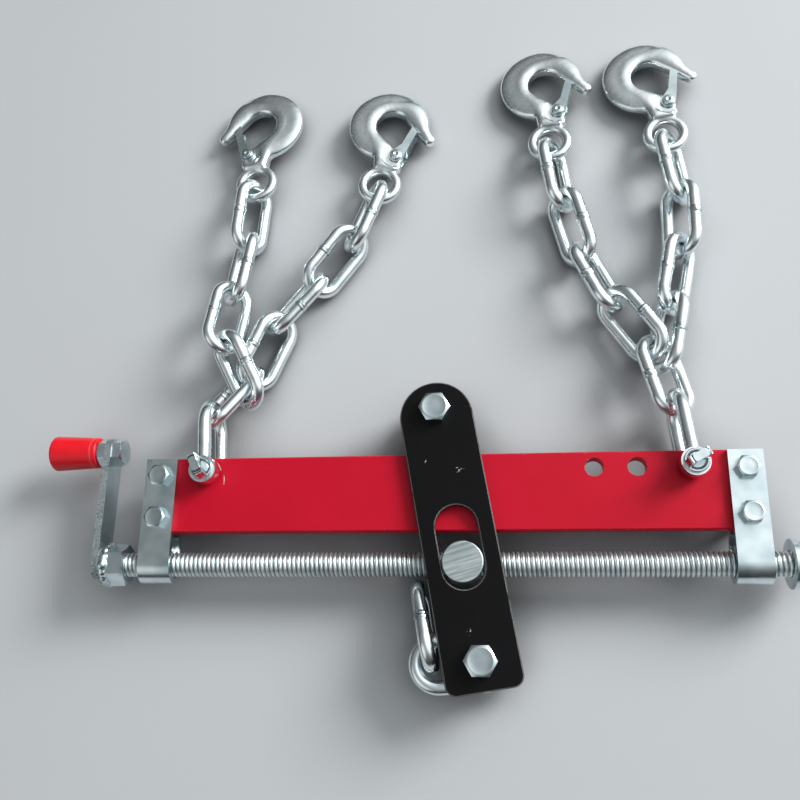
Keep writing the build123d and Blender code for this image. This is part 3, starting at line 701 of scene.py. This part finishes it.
# Dished tops with a raised rim on the bolt heads
def dished_top(name, middle, axis, across_flats, body):
    """Rim and shallow dish on the end of a hexagon head."""
    half = across_flats / 2
    profile = (
        (-0.15 * mm, 0.95 * half),
        (0.16 * mm, 0.91 * half),
        (0.22 * mm, 0.86 * half),
        (0.18 * mm, 0.81 * half),
        (0.08 * mm, 0.74 * half),
        (0.05 * mm, 0.40 * half),
        (0.05 * mm, 0.01 * half),
    )
    points, faces = lathe(Vector(middle), Vector(axis), profile, round_steps)
    new_piece(name, points, faces, finishes["plated_steel"], body)


bolt_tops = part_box("bracket_bolts")[1].z
for number, (x, y) in enumerate(bracket_spots(), start=1):
    dished_top(f"bracket_bolt_top_{number}", (x, y, bolt_tops), (0, 0, 1), bracket_flats, "bar")
for node in ("bearing_bolt", "lift_bolt"):
    middle = middle_of(node)
    top = (middle.x, middle.y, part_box(node)[1].z)
    dished_top(node + "_top", top, (0, 0, 1), carriage_flats, "carriage")
middle = middle_of("grip_bolt")
grip_top = (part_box("grip_bolt")[1].x, middle.y, middle.z)
dished_top("grip_bolt_top", grip_top, (1, 0, 0), grip_flats, "crank")


# Weld seams on the upper legs of the links
def link_axes(node):
    """Centre, length direction, upward leg direction and half width of a link, from its own mesh."""
    points = np.array([vertex.co for vertex in nodes[node].data.vertices])
    spread = np.cov((points - points.mean(0)).T)
    thin, aside, ahead = np.linalg.eigh(spread)[1].T
    aside = aside * (1 if aside[2] > 0 else -1)
    spans = [(axis, points @ axis) for axis in (ahead, aside, thin)]
    centre = sum(axis * (span.max() + span.min()) / 2 for axis, span in spans)
    across = spans[1][1]
    half_width = (across.max() - across.min()) / 2
    return Vector(centre), Vector(ahead), Vector(aside), half_width


def waves(angle, *terms):
    """Sum of waves round a circle: the height, the number and the start of each."""
    return sum(height * sin(number * angle + start) for height, number, start in terms)


def weld_seam(node, side):
    """Upset ring of metal at a link's weld, between two lines of painted shade and uneven in its own way."""
    centre, ahead, aside, half_width = link_axes(node)
    aside = aside * side
    middle = centre + aside * (half_width - chain_wire / 2)
    normal = ahead.cross(aside)
    points = []
    painted_shades = []
    for along, over, seam_shade in seam_profile:
        for step in range(small_round_steps):
            angle = 2 * pi * step / small_round_steps
            wobble = waves(angle, (0.45, 3, centre.x * 900), (0.40, 7, centre.y * 700 + along))
            lean = waves(angle, (0.35, 1, centre.y * 500), (0.15, 4, centre.x * 400))
            shade_vary = waves(angle, (0.4, 2, centre.x * 700))
            radius = chain_wire / 2 + over * (1 + wobble) * mm
            out = spoke(aside, normal, step, small_round_steps)
            points.append(middle + ahead * (along + lean) * mm + out * radius)
            # Painted shade at the seam's steps, varied round the wire
            painted_shades.append(seam_shade * (0.6 + shade_vary))
    faces = ring_faces(len(seam_profile), small_round_steps)
    new_piece(node + "_seam", points, faces, weld_steel, node, painted_shades)


# The left first link has its seam on the lower leg, because another link swings past the upper one
for node in sorted(nodes):
    if "_link" in node and node != "lift_link":
        weld_seam(node, -1 if node == "left_first_link" else 1)


# Skins drawn smooth
def shell_of(mesh, name):
    """Even mesh over the surface of another, as points, pairs of neighbours and faces."""
    wrapped = new_object(name, mesh.copy())
    shell = wrapped.modifiers.new("shell", "REMESH")
    shell.mode = "VOXEL"
    shell.voxel_size = shell_step
    solved = wrapped.evaluated_get(bpy.context.evaluated_depsgraph_get()).to_mesh()
    points = np.array([vertex.co for vertex in solved.vertices])
    pairs = np.array([edge.vertices for edge in solved.edges])
    faces = [tuple(face.vertices) for face in solved.polygons]
    bpy.data.objects.remove(wrapped)
    return points, pairs, faces


def drawn_smooth(values, pairs, share, rounds):
    """Values of the points, each drawn by its share towards its neighbours' mean, again and again."""
    first, second = pairs.T
    size = len(values)
    count = np.bincount(first, minlength=size) + np.bincount(second, minlength=size)
    for _ in range(rounds):
        total = np.bincount(first, values[second], size) + np.bincount(second, values[first], size)
        values = values + share * (total / count - values)
    return values


def softened(points, pairs, rounds):
    """Points of a shell, drawn smooth in all three directions."""
    return np.array([drawn_smooth(side, pairs, draw_share, rounds) for side in points.T]).T


def clear_of(points, spot, near, far):
    """0 up to a distance from a spot and 1 from a larger one."""
    distance = np.linalg.norm(points - np.array(spot), axis=1)
    return np.clip((distance - near) / (far - near), 0, 1)


# Hooks: soft forged skin drawn from the solid, and rivets with a dimpled head
def forged_skin(hook):
    """Skin of a forged hook: creases drawn smooth, the body domed across, the eye and rivet seat kept."""
    points, pairs, faces = shell_of(nodes[hook].data, hook + "_wrap")
    points = softened(points, pairs, hook_rounds)
    bowl = mounts[hook + "_bowl"]
    normal = np.array(bowl["axis"])
    share = clear_of(points, joints[hook + "_swing"]["pos_m"], *eye_kept)
    share *= clear_of(points, joints[hook + "_latch_swing"]["pos_m"], *rivet_kept)
    height = (points - np.array(bowl["pos_m"])) @ normal
    domed = drawn_smooth(height, pairs, draw_share * share, dome_rounds)
    points += np.outer(domed - height, normal)
    skin = new_piece(hook + "_skin", points, faces, finishes["forged_hook"], hook)
    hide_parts(hook)


def dimpled_rivet(node, hook):
    """Rivet with a round head at both ends, a ring and a dimple in each."""
    swing = joints[hook + "_latch_swing"]
    axis = Vector(swing["axis"]).normalized()
    centre = middle_of(node)
    offsets = [vertex.co - centre for vertex in nodes[node].data.vertices]
    alongs = [abs(offset.dot(axis)) for offset in offsets]
    radii = [(offset - axis * offset.dot(axis)).length for offset in offsets]
    top = max(alongs)
    wide = max(radii)
    seat = min(along for along, radius in zip(alongs, radii) if radius > 0.9 * wide)
    shank = min(radius for radius in radii if radius > 0.1 * wide)
    head = [
        (top - 0.7 * mm, 0.02 * wide),
        (top - 0.6 * mm, 0.20 * wide),
        (top - 0.1 * mm, 0.32 * wide),
        (top, 0.42 * wide),
        (top - 0.05 * mm, 0.56 * wide),
        (top - 0.35 * mm, 0.64 * wide),
        (top - 0.30 * mm, 0.80 * wide),
        (top - 0.45 * mm, 0.93 * wide),
        (seat + 0.3 * mm, wide),
        (seat, wide),
        (seat, shank),
    ]
    profile = head + [(-along, radius) for along, radius in reversed(head)]
    points, faces = lathe(centre, axis, profile, small_round_steps)
    rivet = new_piece(node + "_head", points, faces, finishes["latch_steel"], hook)
    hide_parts(node)


for chain in ("left", "right"):
    for leg in ("inner", "outer"):
        hook = f"{chain}_{leg}_hook"
        forged_skin(hook)
        dimpled_rivet(hook + "_rivet", hook)


# Weld between the crank arm and the screw
def crank_weld():
    """Ring of lumps on the arm's inner face, run into one another."""
    ahead, first, second = (Vector(axis) for axis in ((1, 0, 0), (0, 1, 0), (0, 0, 1)))
    seat = Vector((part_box("crank_arm")[1].x + lump_stand, screw_middle.y, screw_middle.z))
    lump_points = []
    lump_faces = []
    for lump in range(weld_lumps):
        size = lump_radius + lump_vary * sin(5 * lump)
        out = weld_ring + lump_vary * sin(3 * lump + 1)
        angles = [pi * ring / lump_rings for ring in range(lump_rings + 1)]
        profile = [(-size * cos(angle), size * sin(angle)) for angle in angles]
        middle = seat + spoke(first, second, lump, weld_lumps) * out
        points, faces = lathe(middle, ahead, profile, lump_steps)
        lump_faces += [tuple(corner + len(lump_points) for corner in face) for face in faces]
        lump_points += points
    lump_mesh = bpy.data.meshes.new("crank_weld_lumps")
    lump_mesh.from_pydata(lump_points, [], lump_faces)
    points, pairs, faces = shell_of(lump_mesh, "crank_weld_wrap")
    points = softened(points, pairs, weld_rounds)
    new_piece("crank_weld", points, faces, weld_steel, "crank")


crank_weld()


# Floor, light and camera
def studio_floor():
    """Flat square floor, much wider than the object."""
    corners = [(x * floor_reach, y * floor_reach, 0) for x, y in ((-1, -1), (1, -1), (1, 1), (-1, 1))]
    mesh = bpy.data.meshes.new("floor")
    mesh.from_pydata(corners, [], [(0, 1, 2, 3)])
    mesh.materials.append(floor_coat())
    floor = new_object("floor", mesh)


def soft_lamp():
    """Square lamp that faces the middle of the object."""
    lamp = bpy.data.lights.new("window", "AREA")
    lamp.size = lamp_size
    lamp.energy = lamp_power
    lamp.color = lamp_colour
    lamp.spread = radians(lamp_spread)
    stand = new_object("window", lamp)
    stand.location = lamp_spot
    stand.rotation_euler = (Vector(lamp_spot) * -1).to_track_quat("-Z", "Y").to_euler()


def studio_sky():
    """Glow of the ceiling and the walls; the camera sees an even pale backdrop."""
    world = bpy.data.worlds.new("studio")
    bpy.context.scene.world = world
    world.use_nodes = True
    sky = world.node_tree
    direction = add(sky, "ShaderNodeTexCoord").outputs["Generated"]
    parts = add(sky, "ShaderNodeSeparateXYZ", Vector=direction).outputs
    glow = remap(sky, parts["Z"], *ceiling_rise)
    for axis, start, end, share in ceiling_fall:
        glow = times(sky, glow, remap(sky, parts[axis], start, end, share))
    for towards, start, full, level in walls:
        closeness = dot(sky, direction, Vector(towards).normalized())
        glow = calc(sky, "ADD", glow, remap(sky, closeness, start, full, 0.0, level))
    seen = add(sky, "ShaderNodeLightPath").outputs["Is Camera Ray"]
    background = sky.nodes["Background"]
    feed(sky, background.inputs["Color"], sky_tint)
    feed(sky, background.inputs["Strength"], calc(sky, "MAXIMUM", glow, times(sky, seen, backdrop_level)))


def photo_camera():
    """Camera at the photograph's place and turn."""
    lens = bpy.data.cameras.new("camera")
    lens.sensor_width = sensor_width
    lens.lens = camera_focus / picture_width * sensor_width
    lens.clip_start = camera_near
    camera = new_object("camera", lens)
    camera.location = camera_place
    camera.rotation_euler = Euler([radians(angle) for angle in camera_turn])
    return camera


studio_floor()
soft_lamp()
studio_sky()
bpy.context.scene.camera = photo_camera()
bpy.context.scene.view_settings.view_transform = "Standard"
